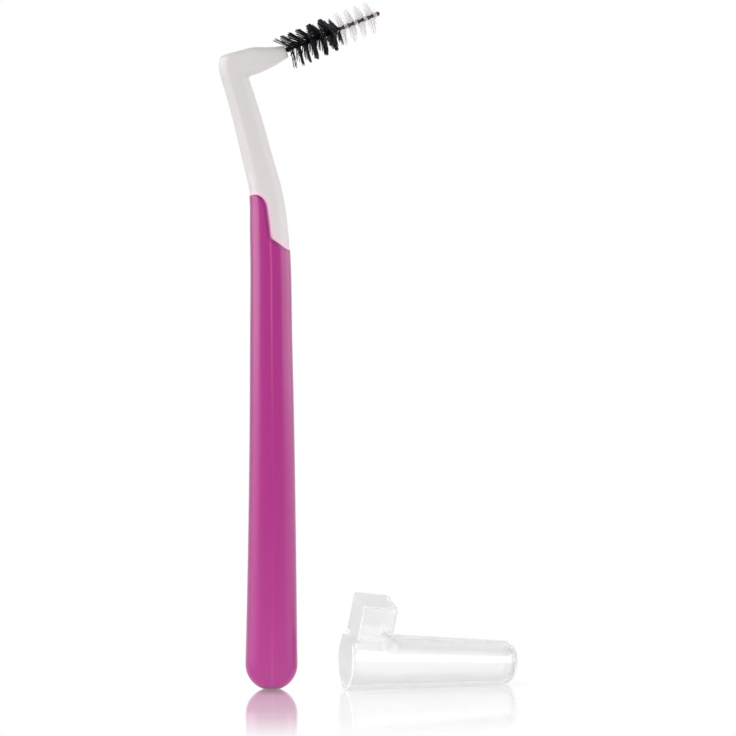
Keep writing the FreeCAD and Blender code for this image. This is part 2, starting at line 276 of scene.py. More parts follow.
# %% Natural nylon
natural_nylon, tree = new_material("extruded_nylon_natural")
along = add(tree, ATTRIBUTE, attribute_name="along")
shade = add(tree, MIX, {
    "Factor": along.outputs["Fac"], 6: colour("#E8DAE1"), 7: colour("#F1F0F1")}, data_type="RGBA")
body = add(tree, PRINCIPLED, {"Base Color": shade.outputs[2], "Roughness": 0.3, "IOR": 1.53})
through = add(tree, "ShaderNodeBsdfTransparent", {"Color": WHITE})
outer = add(tree, MATH, {0: along.outputs["Fac"], 1: 0.4}, operation="POWER")
opacity = add(tree, RANGE, {"Value": outer, "To Min": 0.27, "To Max": 0.1})
root = add(tree, RANGE, {
    "Value": along.outputs["Fac"], "From Min": 0.06, "From Max": 0.16, "To Min": 0.2, "To Max": 1.0})
opacity = add(tree, MATH, {0: opacity, 1: root}, operation="MULTIPLY")
surface = add(tree, BLEND, {0: opacity, 1: through, 2: body})
add(tree, OUTPUT, {"Surface": surface})
print(black_nylon.name, natural_nylon.name)

# %% [markdown]
# The cap is clear polypropylene. Its walls are thin and slightly milky, so they look pale grey
# where they overlap and darker where they are seen edge-on, and its tool left a soft gloss
# outside. The mesh says where a painted shade greys the far walls further. It also says which
# edges carry a painted highlight, a near-white diffuse that stands in for the light they catch.

# %% Clear polypropylene
clear_plastic, tree = new_material("moulded_polypropylene_clear")
place = add(tree, "ShaderNodeTexCoord").outputs["Object"]
milk = add(tree, NOISE, {"Vector": place, "Scale": 1 / (7 * MM), "Detail": 2.0})
tint = add(tree, MIX, {
    "Factor": milk.outputs["Fac"], 6: colour("#F7F7F7"), 7: colour("#FAFAFA")}, data_type="RGBA")
facing = add(tree, "ShaderNodeLayerWeight", {"Blend": 0.5})
deep = add(tree, RANGE, {"Value": facing.outputs["Facing"], "From Min": 0.08, "From Max": 0.35})
tint = add(tree, MIX, {"Factor": deep, 6: tint.outputs[2], 7: colour("#F0F0F0")}, data_type="RGBA")
# Painted shade that greys the far walls of the channel and the mouth.
far_wall_shade = add(tree, ATTRIBUTE, attribute_name="far_wall_shade")
tint = add(tree, MIX, {
    "Factor": far_wall_shade.outputs["Fac"], 6: tint.outputs[2], 7: colour("#E9E9E9")}, data_type="RGBA")
clear = add(tree, PRINCIPLED, {
    "Base Color": tint.outputs[2], "Roughness": 0.12, "IOR": 1.15, "Transmission Weight": 0.82,
    "Coat Weight": 1.0, "Coat Roughness": 0.13})
# Painted highlights: a near-white diffuse on the rims, a band, the closed end and three corners.
painted_edge_highlight = add(tree, ATTRIBUTE, attribute_name="painted_edge_highlight")
highlight_share = add(tree, RANGE, {"Value": painted_edge_highlight.outputs["Fac"], "To Max": 0.7})
painted_white_highlight = add(tree, "ShaderNodeBsdfDiffuse", {"Color": colour("#FDFDFD")})
surface = add(tree, BLEND, {0: highlight_share, 1: clear, 2: painted_white_highlight})
add(tree, OUTPUT, {"Surface": surface})
print(clear_plastic.name)

# %% [markdown]
# The handle and the core share one drawing: a row of stations from the foot to the heel. Each
# has a height, a sideways place, a width, a depth and a tilt. A natural spline runs through the
# stations, so that the surface between them is as smooth as the real moulding.

# %% Stations of the handle and the neck
END_RADIUS = 4.5
FOOT_CUT = 0.2
STRAIGHT_TOP = 75.6
NECK_TOP = 109.5
NECK_TILT = math.radians(15.5)
NECK_SHIFT = 6.6
FOOT_WIDTH, FOOT_DEPTH = 9.0, 6.3
TOP_WIDTH, TOP_DEPTH, TOP_X = 6.9, 5.4, -0.15
NARROWING = 2.05
BOW = 0.2


def straight(share):
    """A station of the upright part, this share of the way from the foot's dome to the lip."""
    height = END_RADIUS + (STRAIGHT_TOP - END_RADIUS) * share
    width = FOOT_WIDTH + (TOP_WIDTH - FOOT_WIDTH) * share ** 0.88
    depth = FOOT_DEPTH + (TOP_DEPTH - FOOT_DEPTH) * share
    return [height, BOW * math.sin(math.pi * share) + TOP_X * share, width, depth, 0.0]


def leaning(rise, shift, narrower, tilt, thinner):
    """A station of the leaning part, from shares of its whole rise, shift, narrowing and tilt,
    and from how much thinner it is there."""
    height = STRAIGHT_TOP + (NECK_TOP - STRAIGHT_TOP) * rise
    width = TOP_WIDTH - NARROWING * narrower
    return [height, TOP_X - NECK_SHIFT * shift, width, TOP_DEPTH - thinner, NECK_TILT * tilt]


stations = [straight(share) for share in (0, 0.06, 0.12, 0.28, 0.46, 0.64, 0.82)]
stations += [
    leaning(0, 0, 0, 0, 0), leaning(0.16, 0.04, 0.2, 0.32, 0.15), leaning(0.307, 0.12, 0.54, 0.56, 0.32),
    leaning(0.425, 0.272, 0.68, 1, 0.5), leaning(0.646, 0.566, 0.83, 1, 0.75),
    leaning(0.847, 0.872, 0.98, 1, 1), leaning(0.93, 0.985, 1, 1, 1), leaning(1.0, 1.0, 1.07, 1, 1),
]
stations = np.array(stations)


def smooth_through(places, values, where):
    """A natural cubic spline through the values at these places."""
    gap = np.diff(places)
    count = len(places)
    matrix = np.eye(count)
    sides = np.zeros_like(values)
    for i in range(1, count - 1):
        matrix[i, i - 1:i + 2] = gap[i - 1], 2 * (gap[i - 1] + gap[i]), gap[i]
        sides[i] = 6 * ((values[i + 1] - values[i]) / gap[i] - (values[i] - values[i - 1]) / gap[i - 1])
    bend = np.linalg.solve(matrix, sides)
    where = np.asarray(where, float)
    i = np.clip(np.searchsorted(places, where) - 1, 0, count - 2)
    left = ((places[i + 1] - where) / gap[i])[:, None]
    right = 1 - left
    curve = (left ** 3 - left) * bend[i] + (right ** 3 - right) * bend[i + 1]
    return left * values[i] + right * values[i + 1] + curve * gap[i][:, None] ** 2 / 6


def handle_at(heights):
    """Sideways place, width, depth and tilt at these heights."""
    return smooth_through(stations[:, 0], stations[:, 1:], heights)


print("stations", len(stations))


# %% [markdown]
# The cross-section is a superellipse: with a power of 2 it is an ellipse, and a higher power
# makes it squarer. The photograph shows a flat front with rounded sides, which is near 2.9. A
# crest a fifth of a millimetre high runs down the middle of the grip, where the two halves of
# its tool met. The neck's left flank is cut back to a facet. Both are blended in softly.

# %% Rings and skins
SQUARENESS = 2.9
CREST_BLEND = 0.006
FACET_FROM, FACET_CUT, FACET_BLEND = 0.36, 0.4, 0.002


def ring(centre, across, width, depth, power, count, crest=0.0, facet=0.0):
    """Points of one closed outline, in millimetres, from the +across side towards +Y."""
    angle = math.tau * np.arange(count) / count
    x, y = np.cos(angle), np.sin(angle)
    radius = ((abs(x) / (width / 2)) ** power + (abs(y) / (depth / 2)) ** power) ** (-1 / power)
    out, deep = radius * x, radius * y
    roof = crest * (1 - np.sqrt((out / (width / 2)) ** 2 + CREST_BLEND))
    deep = deep + roof * np.tanh(3 * y)
    if facet:
        flank = np.clip(-out / (width / 2) - FACET_FROM, 0, None) / (1 - FACET_FROM)
        limit = depth / 2 * (1 - FACET_CUT * facet * flank) + 2 * FACET_BLEND
        size = abs(deep)
        deep = np.sign(y) * (size + limit - np.sqrt((size - limit) ** 2 + FACET_BLEND)) / 2
    return np.array(centre) + np.outer(out, across) + np.outer(deep, (0, 1, 0))


def skin(rings, name):
    """A closed mesh over rings of as many points each, with a small fan at each end."""
    count = len(rings[0])
    points = [p for r in rings for p in r]
    faces = []
    for row in range(len(rings) - 1):
        for i in range(count):
            a, b = row * count + i, row * count + (i + 1) % count
            faces.append((a, b, b + count, a + count))
    for end in (0, len(rings) - 1):
        hub = len(points)
        points.append(np.mean(rings[end], axis=0))
        for i in range(count):
            a, b = end * count + i, end * count + (i + 1) % count
            faces.append((b, a, hub) if end == 0 else (a, b, hub))
    mesh = bpy.data.meshes.new(name)
    mesh.from_pydata([tuple(p) for p in points], [], faces)
    mesh.validate()
    return mesh


# %% [markdown]
# The grip is the sleeve below the lip. Its lower end is a dome with a small flat. Its upper edge
# follows the lip's S curve, so each column of the skin ends at its own height there, and the
# last rows roll over inwards as the edge of a real over-moulding does.

# %% The lip's curve
LIP_LEFT, LIP_WIDTH, LIP_RISE = -3.6, 6.9, 9.3
lip_points = np.array([
    (-0.15, 0.99), (0.0, 0.998), (0.126, 1.004), (0.225, 0.987), (0.3, 0.937), (0.362, 0.86),
    (0.392, 0.765), (0.414, 0.642), (0.437, 0.503), (0.458, 0.365), (0.49, 0.25), (0.545, 0.195),
    (0.624, 0.155), (0.823, 0.054), (0.95, 0.005), (1.15, -0.035)])
lip_runs = np.diff(lip_points, axis=0) * [LIP_WIDTH, LIP_RISE]
lip_steps = np.concatenate([[0], np.cumsum(np.hypot(*lip_runs.T))])
lip_line = smooth_through(lip_steps, lip_points, np.linspace(0, lip_steps[-1], 400))
lip_x = LIP_LEFT + LIP_WIDTH * lip_line[:, 0]
lip_z = STRAIGHT_TOP + LIP_RISE * lip_line[:, 1]


def from_lip(spot):
    """How far a point lies from the lip's curve, as seen from the front."""
    return np.hypot(lip_x - spot[0], lip_z - spot[2]).min()


print("lip from", round(lip_z.min(), 1), "to", round(lip_z.max(), 1), "mm")

# %% The grip's skin
COLUMNS = 200
FRONT_COLUMN = COLUMNS * 3 / 4 + 1.5
LEFT_COLUMN = COLUMNS / 2 + 12
DOME_TOP = END_RADIUS - FOOT_CUT
SLEEVE_TOP = 60
ROLL = 0.34
TUCK_IN, TUCK_DOWN = 0.5, 3.0
CREST = 0.2


def grip_rings(heights):
    """Handle outlines at these heights, the dome's included."""
    rings = []
    for height in heights:
        if height < DOME_TOP:
            sink = (DOME_TOP - height) / END_RADIUS
            share = math.sqrt(max(0, 1 - sink * sink))
            width, depth = FOOT_WIDTH * share, FOOT_DEPTH * share ** 0.8
            rings.append(ring((0, 0, height), (1, 0, 0), width, depth, SQUARENESS, COLUMNS))
        else:
            x, width, depth, tilt = handle_at([max(height, END_RADIUS)])[0]
            across = (math.cos(tilt), 0, math.sin(tilt))
            crest = CREST * fade(height, 0, 12)
            rings.append(ring((x, 0, height), across, width, depth, SQUARENESS, COLUMNS, crest))
    return np.array(rings)


fine = grip_rings(np.linspace(55, 92, 300))
ends = []
for column in range(COLUMNS):
    path = fine[:, column]
    over = path[:, 2] - np.interp(path[:, 0], lip_x, lip_z)
    last = np.argmax(over > 0)
    share = over[last - 1] / (over[last - 1] - over[last])
    ends.append(path[last - 1] + (path[last] - path[last - 1]) * share)
ends = np.array(ends)
print("grip ends between", ends[:, 2].min().round(1), "and", ends[:, 2].max().round(1))

# %% The dome, the sleeve and the rolled lip
dome_shares = np.array([71.6, 66, 60, 53, 46, 39, 32, 25, 18, 12, 6, 0]) / 71.6
dome_heights = DOME_TOP - END_RADIUS * np.sin(np.arcsin(DOME_TOP / END_RADIUS) * dome_shares)
lower = grip_rings(np.concatenate([dome_heights, np.linspace(5.2, SLEEVE_TOP, 45)]))
rows = list(lower)
for share in np.linspace(0.03, 1, 60):
    heights = lower[-1][:, 2] + (ends[:, 2] - lower[-1][:, 2]) * share
    spots = np.array([
        [np.interp(h, fine[:, c, 2], fine[:, c, axis]) for axis in range(3)] for c, h in enumerate(heights)])
    rows.append(spots)
tangent = np.roll(ends, -1, axis=0) - np.roll(ends, 1, axis=0)
up_skin = rows[-1] - rows[-4]
outward = np.cross(tangent, up_skin)
outward /= np.linalg.norm(outward, axis=1)[:, None]
over_lip = np.cross(outward, tangent)
over_lip /= np.linalg.norm(over_lip, axis=1)[:, None]
over_lip *= np.sign(np.sum(over_lip * up_skin, axis=1))[:, None]
for turn in np.radians([22, 45, 68, 90]):
    rows.append(ends + over_lip * (ROLL * math.sin(turn)) - outward * (ROLL * (1 - math.cos(turn))))
rows.append(rows[-1] - outward * TUCK_IN)
rows.append(rows[-1] - np.array([0, 0, TUCK_DOWN]))
grip_mesh = skin(rows, "grip_sleeve")
spots = np.array([v.co for v in grip_mesh.vertices])
column = np.arange(len(spots)) % COLUMNS
# Painted highlight along the front crest, strongest near the lip.
front_highlight_at = np.interp(abs(column - FRONT_COLUMN), [0, 1, 2, 3], [1, 0.75, 0.2, 0])
front_highlight_at *= np.interp(spots[:, 2], [0, 4, 12, 30, 45, 60, 68], [0.5, 0.4, 0.15, 0.05, 0.15, 0.7, 1])
# Painted shade by the lip, along the left edge and at the foot where it meets the table.
painted_shade_at = np.interp(abs(column - LEFT_COLUMN), [0, 3, 5, 8], [1, 0.9, 0.4, 0])
painted_shade_at *= np.interp(spots[:, 2], [0, 12, 33, 50, 90], [0, 0.2, 0.35, 0.6, 0.6])
painted_shade_at = np.maximum(painted_shade_at, fade(spots[:, 2], 0.88, 0.08))
for i in np.where(spots[:, 2] > STRAIGHT_TOP - 2)[0]:
    painted_shade_at[i] = max(painted_shade_at[i], 0.65 - from_lip(spots[i]) / 0.6)
mark(grip_mesh, "painted_front_highlight", front_highlight_at)
mark(grip_mesh, "painted_shade", painted_shade_at)
grip = finished("grip_sleeve", grip_mesh, Matrix.Identity(4), elastomer, "brush")
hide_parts("grip")

# %% [markdown]
# The core is one moulding, so its neck and its collar must flow into each other. Two overlapping
# lofts are added together, a voxel remesh melts their seam, and a few smoothing steps take the
# voxels' grain off. More steps ease the elbow alone, where the real one is rounder. The tang that
# hides in the grip stays a plain loft, put in afterwards.

# %% Melting shapes together
def melted(meshes, name, voxel, steps):
    """One smooth skin round all these overlapping closed meshes."""
    shell = in_scene(name, meshes[0])
    others = [in_scene(name + "_part", mesh) for mesh in meshes[1:]]
    for other in others:
        union = shell.modifiers.new("union", "BOOLEAN")
        union.operation, union.solver, union.object = "UNION", "EXACT", other
    remesh = shell.modifiers.new("voxels", "REMESH")
    remesh.mode, remesh.voxel_size, remesh.use_smooth_shade = "VOXEL", voxel, True
    smooth = shell.modifiers.new("smooth", "SMOOTH")
    smooth.factor, smooth.iterations = 0.5, steps
    result = applied(shell)
    for other in others:
        bpy.data.objects.remove(other)
    result.name = name
    return result


def eased(mesh, centre, reach, steps):
    """Smooths a mesh near one point, less and less towards the reach."""
    count = len(mesh.vertices)
    spots = np.empty(count * 3)
    mesh.vertices.foreach_get("co", spots)
    spots = spots.reshape(-1, 3)
    pairs = np.empty(len(mesh.edges) * 2, np.int32)
    mesh.edges.foreach_get("vertices", pairs)
    one, two = pairs.reshape(-1, 2).T
    friends = np.bincount(pairs, minlength=count)[:, None]
    weight = fade(np.linalg.norm(spots - centre, axis=1), reach, 0.375 * reach)[:, None]
    for _ in range(steps):
        total = np.column_stack([
            np.bincount(one, spots[two, axis], count) + np.bincount(two, spots[one, axis], count)
            for axis in range(3)])
        spots += 0.5 * weight * (total / friends - spots)
    mesh.vertices.foreach_set("co", spots.ravel())
    mesh.update()


# %% Neck, heel and collar
RELIEF = 0.12
NECK_COLUMNS, COLLAR_COLUMNS, TANG_COLUMNS = 128, 96, 48
HEEL_WIDTH, HEEL_DEPTH, HEEL_ROUND = 4.7, 4.4, 0.7
COLLAR_TIP, TIP_ROUND, TIP_DROP = 2.2, 0.25, 0.25
neck_rings = []
for height in np.linspace(67, 109, 80)[:-1]:
    x, width, depth, tilt = handle_at([height])[0]
    across = (math.cos(tilt), 0, math.sin(tilt))
    ease = fade(height, 84, 90)
    neck_rings.append(ring(
        (x, 0, height), across, width - 2 * RELIEF, depth - 2 * RELIEF, SQUARENESS, NECK_COLUMNS,
        facet=ease * ease * (3 - 2 * ease)))
heel = np.array([TOP_X - NECK_SHIFT, 0, NECK_TOP])
lean_up = np.array([-math.sin(NECK_TILT), 0, math.cos(NECK_TILT)])
across = (math.cos(NECK_TILT), 0, math.sin(NECK_TILT))
for turn in np.radians([0, 15, 30, 45, 60, 75, 90]):
    inset = HEEL_ROUND * (1 - math.cos(turn))
    centre = heel - lean_up * (HEEL_ROUND * (1 - math.sin(turn)))
    neck_rings.append(ring(
        centre, across, HEEL_WIDTH - 2 * inset, HEEL_DEPTH - 2 * inset, SQUARENESS, NECK_COLUMNS, facet=1.0))
collar_table = np.array([
    (-9.0, 0.32, 3.9, 4.18, SQUARENESS), (-6.0, 0.4, 4.75, 4.4, SQUARENESS),
    (-3.0, -0.04, 3.56, 3.52, 2.45), (-TIP_ROUND, -TIP_DROP, COLLAR_TIP, COLLAR_TIP, 2.0)])
collar_rings = []
for back in np.linspace(-9, -TIP_ROUND, 40):
    rise, height, depth, power = smooth_through(collar_table[:, 0], collar_table[:, 1:], [back])[0]
    centre = WIRE_EXIT + WIRE_ALONG * back + WIRE_UP * rise
    collar_rings.append(ring(centre, WIRE_UP, height, depth, power, COLLAR_COLUMNS)[::-1])
for turn in np.radians([30, 60, 90]):
    size = COLLAR_TIP - 2 * TIP_ROUND * (1 - math.cos(turn))
    centre = WIRE_EXIT - WIRE_UP * TIP_DROP - WIRE_ALONG * (TIP_ROUND * (1 - math.sin(turn)))
    collar_rings.append(ring(centre, WIRE_UP, size, size, 2.0, COLLAR_COLUMNS)[::-1])
core_parts = [skin(neck_rings, "neck"), skin(collar_rings, "collar")]
core_mesh = melted(core_parts, "core_moulding", voxel=0.13, steps=5)
eased(core_mesh, centre=(-5.2, 0, 108.6), reach=5.0, steps=60)
print("core faces", len(core_mesh.polygons))

# %% The tang, and how near each point is to the lip
tang_rings = []
for height in np.linspace(14, 72, 40):
    x, width, depth, tilt = handle_at([height])[0]
    tang_rings.append(ring((x, 0, height), (1, 0, 0), width / 2, depth / 2, SQUARENESS, TANG_COLUMNS))
tang_mesh = skin(tang_rings, "tang")
points = [tuple(v.co) for v in core_mesh.vertices]
faces = [tuple(p.vertices) for p in core_mesh.polygons]
start = len(points)
points += [tuple(v.co) for v in tang_mesh.vertices]
faces += [tuple(i + start for i in p.vertices) for p in tang_mesh.polygons]
whole_core = bpy.data.meshes.new("core_moulding_whole")
whole_core.from_pydata(points, [], faces)
spots = np.array(points)
# How near each point is to the lip sets the painted pink highlight there.
near = np.zeros(len(spots))
for i in np.where((spots[:, 2] > STRAIGHT_TOP - 2) & (spots[:, 2] < STRAIGHT_TOP + LIP_RISE + 3))[0]:
    near[i] = max(0, 1 - from_lip(spots[i]) / 1.1) ** 0.7
mark(whole_core, "near_lip", near)
core = finished("core_moulding", whole_core, Matrix.Identity(4), polypropylene, "brush")
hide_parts("core")

# %% [markdown]
# The filaments repeat, so Geometry Nodes grow them. The tree works in the wire's own frame: X
# along the wire, Z up across it, and -Y towards the viewer. It puts two points on the wire for
# each filament, one for each half, turns each half by the wire's twist, leans it back towards
# the handle, scales it to its reach, bends its tip a little and gives it a thickness. Bunching
# draws the filaments together into teeth, and Tight Turns adds twist before the first tooth that
# has a known place, where the teeth stand closer.

# %% The filament tree
LEAN_SEED, REACH_SEED, CURL_SEED = 11, 23, 5
grow = bpy.data.node_groups.new("grow_filaments", "GeometryNodeTree")
names = {
    "Filaments": 100, "Start": 0.8, "Length": 9.1, "Spread": 1.0, "Half Turn": HALF_TURN, "Tight Turns": 0.2,
    "Tooth At": TOOTH_AT, "Bunching": 0.1, "Reach Up": 3.4, "Reach Down": 3.75, "Reach Fall": 0.0118,
    "Lean Up Base": 0.66, "Lean Up Tip": 0.09, "Lean Down": 0.05, "Lean Fades From": 5.0,
    "Lean Fades To": 10.0, "Thickness": 0.1, "Scatter": 0.05, "Seed": 4,
}
for name, value in names.items():
    kind = "NodeSocketInt" if isinstance(value, int) else "NodeSocketFloat"
    grow.interface.new_socket(name, in_out="INPUT", socket_type=kind).default_value = value
grow.interface.new_socket("Material", in_out="INPUT", socket_type="NodeSocketMaterial")
grow.interface.new_socket("Geometry", in_out="OUTPUT", socket_type="NodeSocketGeometry")
given = add(grow, "NodeGroupInput").outputs
index = add(grow, "GeometryNodeInputIndex")
halved = add(grow, MATH, {0: index, 1: 2.0}, operation="DIVIDE")
number = add(grow, MATH, {0: halved}, operation="FLOOR")
side = add(grow, MATH, {0: index, 1: 2.0}, operation="MODULO")
both = add(grow, MATH, {0: given["Filaments"], 1: 2.0}, operation="MULTIPLY")

# %% Where each filament stands on the wire
jitter = add(grow, RANDOM, {"ID": number, "Seed": given["Seed"]}).outputs[1]
order = add(grow, MATH, {0: number, 1: jitter}, operation="ADD")
share = add(grow, MATH, {0: order, 1: given["Filaments"]}, operation="DIVIDE")
share = add(grow, MATH, {0: share, 1: given["Spread"]}, operation="POWER")
distance = add(grow, MATH, {0: share, 1: given["Length"], 2: given["Start"]}, operation="MULTIPLY_ADD")
past = add(grow, MATH, {0: distance, 1: given["Tooth At"]}, operation="SUBTRACT")
turns = add(grow, MATH, {0: past, 1: given["Half Turn"]}, operation="DIVIDE")
before = add(grow, MATH, {0: past, 1: 0.0}, operation="MINIMUM")
twist = add(grow, MATH, {0: before, 1: given["Tight Turns"], 2: turns}, operation="MULTIPLY_ADD")
phase = add(grow, MATH, {0: twist, 1: math.tau}, operation="MULTIPLY")
wave = add(grow, MATH, {0: phase}, operation="SINE")
pull = add(grow, MATH, {0: given["Bunching"], 1: -1 / math.tau}, operation="MULTIPLY")
bunched = add(grow, MATH, {0: wave, 1: pull, 2: twist}, operation="MULTIPLY_ADD")
half = add(grow, MATH, {0: bunched, 1: side}, operation="ADD")
swing = add(grow, RANDOM, {2: -1.0, 3: 1.0, "ID": index, "Seed": given["Seed"]}).outputs[1]
swung = add(grow, MATH, {0: swing, 1: given["Scatter"], 2: half}, operation="MULTIPLY_ADD")
angle = add(grow, MATH, {0: swung, 1: -math.pi}, operation="MULTIPLY")

# %% How far each half leans and reaches
upright = add(grow, MATH, {0: angle}, operation="COSINE")
upness = add(grow, RANGE, {"Value": upright, "From Min": -1.0})
lean_up = add(grow, RANGE, {
    "Value": distance, "From Min": given["Lean Fades From"], "From Max": given["Lean Fades To"],
    "To Min": given["Lean Up Base"], "To Max": given["Lean Up Tip"]}, interpolation_type="SMOOTHSTEP")
lean_even = add(grow, MIX, {"Factor": upness, 2: given["Lean Down"], 3: lean_up})
lean_more = add(grow, RANDOM, {2: -1.0, 3: 1.0, "ID": index, "Seed": LEAN_SEED}).outputs[1]
lean = add(grow, MATH, {0: lean_more, 1: given["Scatter"], 2: lean_even}, operation="MULTIPLY_ADD")
reach_even = add(grow, MIX, {"Factor": upness, 2: given["Reach Down"], 3: given["Reach Up"]})
fall = add(grow, MATH, {0: distance, 1: given["Reach Fall"]}, operation="MULTIPLY")
kept = add(grow, MATH, {0: 1.0, 1: fall}, operation="SUBTRACT")
reach_cut = add(grow, RANDOM, {2: 0.95, 3: 1.0, "ID": index, "Seed": REACH_SEED}).outputs[1]
reach = add(grow, MATH, {0: reach_even, 1: kept}, operation="MULTIPLY")
reach = add(grow, MATH, {0: reach, 1: reach_cut}, operation="MULTIPLY")

# %% The direction of each half, and the filament itself
out_lean = add(grow, MATH, {0: lean}, operation="COSINE")
back_lean = add(grow, MATH, {0: lean}, operation="SINE")
back = add(grow, MATH, {0: back_lean, 1: -1.0}, operation="MULTIPLY")
up = add(grow, MATH, {0: upright, 1: out_lean}, operation="MULTIPLY")
sideways = add(grow, MATH, {0: angle}, operation="SINE")
nearer = add(grow, MATH, {0: sideways, 1: out_lean}, operation="MULTIPLY")
farther = add(grow, MATH, {0: nearer, 1: -1.0}, operation="MULTIPLY")
direction = add(grow, "ShaderNodeCombineXYZ", {"X": back, "Y": farther, "Z": up})
turned = add(grow, "FunctionNodeAlignRotationToVector", {"Vector": direction}, axis="Z")
spot = add(grow, "ShaderNodeCombineXYZ", {"X": distance})
points_made = add(grow, "GeometryNodePoints", {"Count": both, "Position": spot})
curl = add(grow, RANDOM, {
    0: (-0.27, -0.07, -0.07), 1: (-0.05, 0.07, 0.07), "ID": index, "Seed": CURL_SEED},
    data_type="FLOAT_VECTOR")
marked = add(grow, "GeometryNodeStoreNamedAttribute", {
    "Geometry": points_made, "Name": "curl", "Value": curl}, data_type="FLOAT_VECTOR")
stem = add(grow, "GeometryNodeCurvePrimitiveLine", {"End": (0, 0, 1)})
stem = add(grow, "GeometryNodeResampleCurve", {"Curve": stem, "Count": 7})
placed = add(grow, "GeometryNodeInstanceOnPoints", {
    "Points": marked, "Instance": stem, "Rotation": turned, "Scale": reach})
real = add(grow, "GeometryNodeRealizeInstances", {"Geometry": placed})

# %% Bend, thickness and material
factor = add(grow, "GeometryNodeSplineParameter").outputs["Factor"]
squared = add(grow, MATH, {0: factor, 1: 2.0}, operation="POWER")
kept_curl = add(grow, "GeometryNodeInputNamedAttribute", {"Name": "curl"}, data_type="FLOAT_VECTOR")
offset = add(grow, "ShaderNodeVectorMath", {0: kept_curl, "Scale": squared}, operation="SCALE")
bent = add(grow, "GeometryNodeSetPosition", {"Geometry": real, "Offset": offset})
labelled = add(grow, "GeometryNodeStoreNamedAttribute", {
    "Geometry": bent, "Name": "along", "Value": factor})
radius = add(grow, MATH, {0: given["Thickness"], 1: 0.5}, operation="MULTIPLY")
section = add(grow, "GeometryNodeCurvePrimitiveCircle", {"Resolution": 6, "Radius": radius})
solid = add(grow, "GeometryNodeCurveToMesh", {
    "Curve": labelled, "Profile Curve": section, "Fill Caps": True})
tidy = add(grow, "GeometryNodeRealizeInstances", {"Geometry": solid})
coated = add(grow, "GeometryNodeSetMaterial", {"Geometry": tidy, "Material": given["Material"]})
add(grow, "NodeGroupOutput", {"Geometry": coated})
print("filament tree", len(grow.nodes), "nodes")


# %% Growing one kind of filament
def grown(name, material, **sizes):
    """Runs the tree with these sizes and gives back a plain mesh, in millimetres."""
    host = in_scene(name, bpy.data.meshes.new(name))
    modifier = host.modifiers.new("grow", "NODES")
    modifier.node_group = grow
    sockets = {item.name: item.identifier for item in grow.interface.items_tree if item.in_out == "INPUT"}
    for size, value in sizes.items():
        modifier[sockets[size.replace("_", " ")]] = value
    modifier[sockets["Material"]] = material
    return applied(host)


wire_place = Matrix.Translation(Vector(WIRE_EXIT)) @ Matrix.Rotation(-WIRE_ANGLE, 4, "Y")
black_mesh = grown(
    "black_filaments", black_nylon, Filaments=420, Start=0.5, Length=9.3, Spread=0.62, Thickness=0.105,
    Lean_Up_Tip=0.36, Lean_Fades_From=3.0, Lean_Fades_To=9.5)
black = finished("black_filaments", black_mesh, wire_place, black_nylon, "brush")
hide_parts(*[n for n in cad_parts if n.startswith("black_filaments_row")])
natural_mesh = grown(
    "natural_filaments", natural_nylon, Filaments=190, Start=9.8, Length=6.9, Bunching=0.2,
    Lean_Up_Tip=-0.02, Seed=9)
natural = finished("natural_filaments", natural_mesh, wire_place, natural_nylon, "brush")
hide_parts(*[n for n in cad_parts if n.startswith("white_filaments_row")])

# %% [markdown]
# The cap is a tapered tube with a rounded closed end. A U-shaped channel stands on it at its
# mouth and takes the neck. Its solids are added and cut as in the tool that moulded it, and the
# same melting gives it the small soft edges that catch the light. Melting also leaves steps on
# the long taper, which clear plastic would show, so the tube's points are then put back on its
# true cones, inside and out, clear of the mouth, the closed end and the channel.

# %% The cap's solids
CAP_LENGTH = 30.4
MOUTH_RADIUS, END_CAP_RADIUS = 5.0, 3.7
TAPER = (MOUTH_RADIUS - END_CAP_RADIUS) / CAP_LENGTH
WALL = 0.75
END_ROUND = 2.2
CHANNEL_LEAN = math.radians(5)
CHANNEL_RISE, CHANNEL_REACH, CHANNEL_HALF = 6.25, 6.3, 3.75
CHANNEL_SINK, CHANNEL_ROUND = 0.37, 0.6
SETBACK = 0.75


def tube(wall, overrun):
    """The tapered tube, smaller by a wall, starting this far before the mouth."""
    end, corner = CAP_LENGTH - wall, END_ROUND - wall
    mouth = MOUTH_RADIUS - wall
    outline = [(-overrun, mouth + TAPER * overrun)]
    outline += [(x, mouth - TAPER * x) for x in np.linspace(0.4, end - corner, 24)]
    for turn in np.radians([15, 30, 45, 60, 75, 90]):
        low = mouth - TAPER * (end - corner) - corner
        outline.append((end - corner * (1 - math.sin(turn)), low + corner * math.cos(turn)))
    return skin([ring((x, 0, 0), (0, 0, 1), 2 * r, 2 * r, 2.0, 96)[::-1] for x, r in outline], "tube")


def channel(wall, overrun):
    """The channel's leaning block, smaller by a wall, its back edges rounded."""
    up = np.array([math.sin(CHANNEL_LEAN), math.cos(CHANNEL_LEAN)])
    back = np.array([math.cos(CHANNEL_LEAN), -math.sin(CHANNEL_LEAN)])
    foot = np.array([SETBACK, MOUTH_RADIUS])
    half, reach, corner = CHANNEL_HALF - wall, CHANNEL_REACH - wall, CHANNEL_ROUND - wall / 2
    plan = [(-overrun, -half), (reach - corner, -half)]
    for turn in np.radians([22, 45, 68, 90]):
        plan.append((reach - corner + corner * math.sin(turn), -half + corner * (1 - math.cos(turn))))
    plan += [(x, -y) for x, y in plan[::-1]]
    low, high = [], []
    for along_back, y in plan:
        spot = foot + back * along_back
        top = spot + up * (CHANNEL_RISE + overrun)
        ground = spot - up * (spot[1] + CHANNEL_SINK)
        low.append((ground[0], y, ground[1]))
        high.append((top[0], y, top[1]))
    return skin([np.array(low), np.array(high)], "channel")


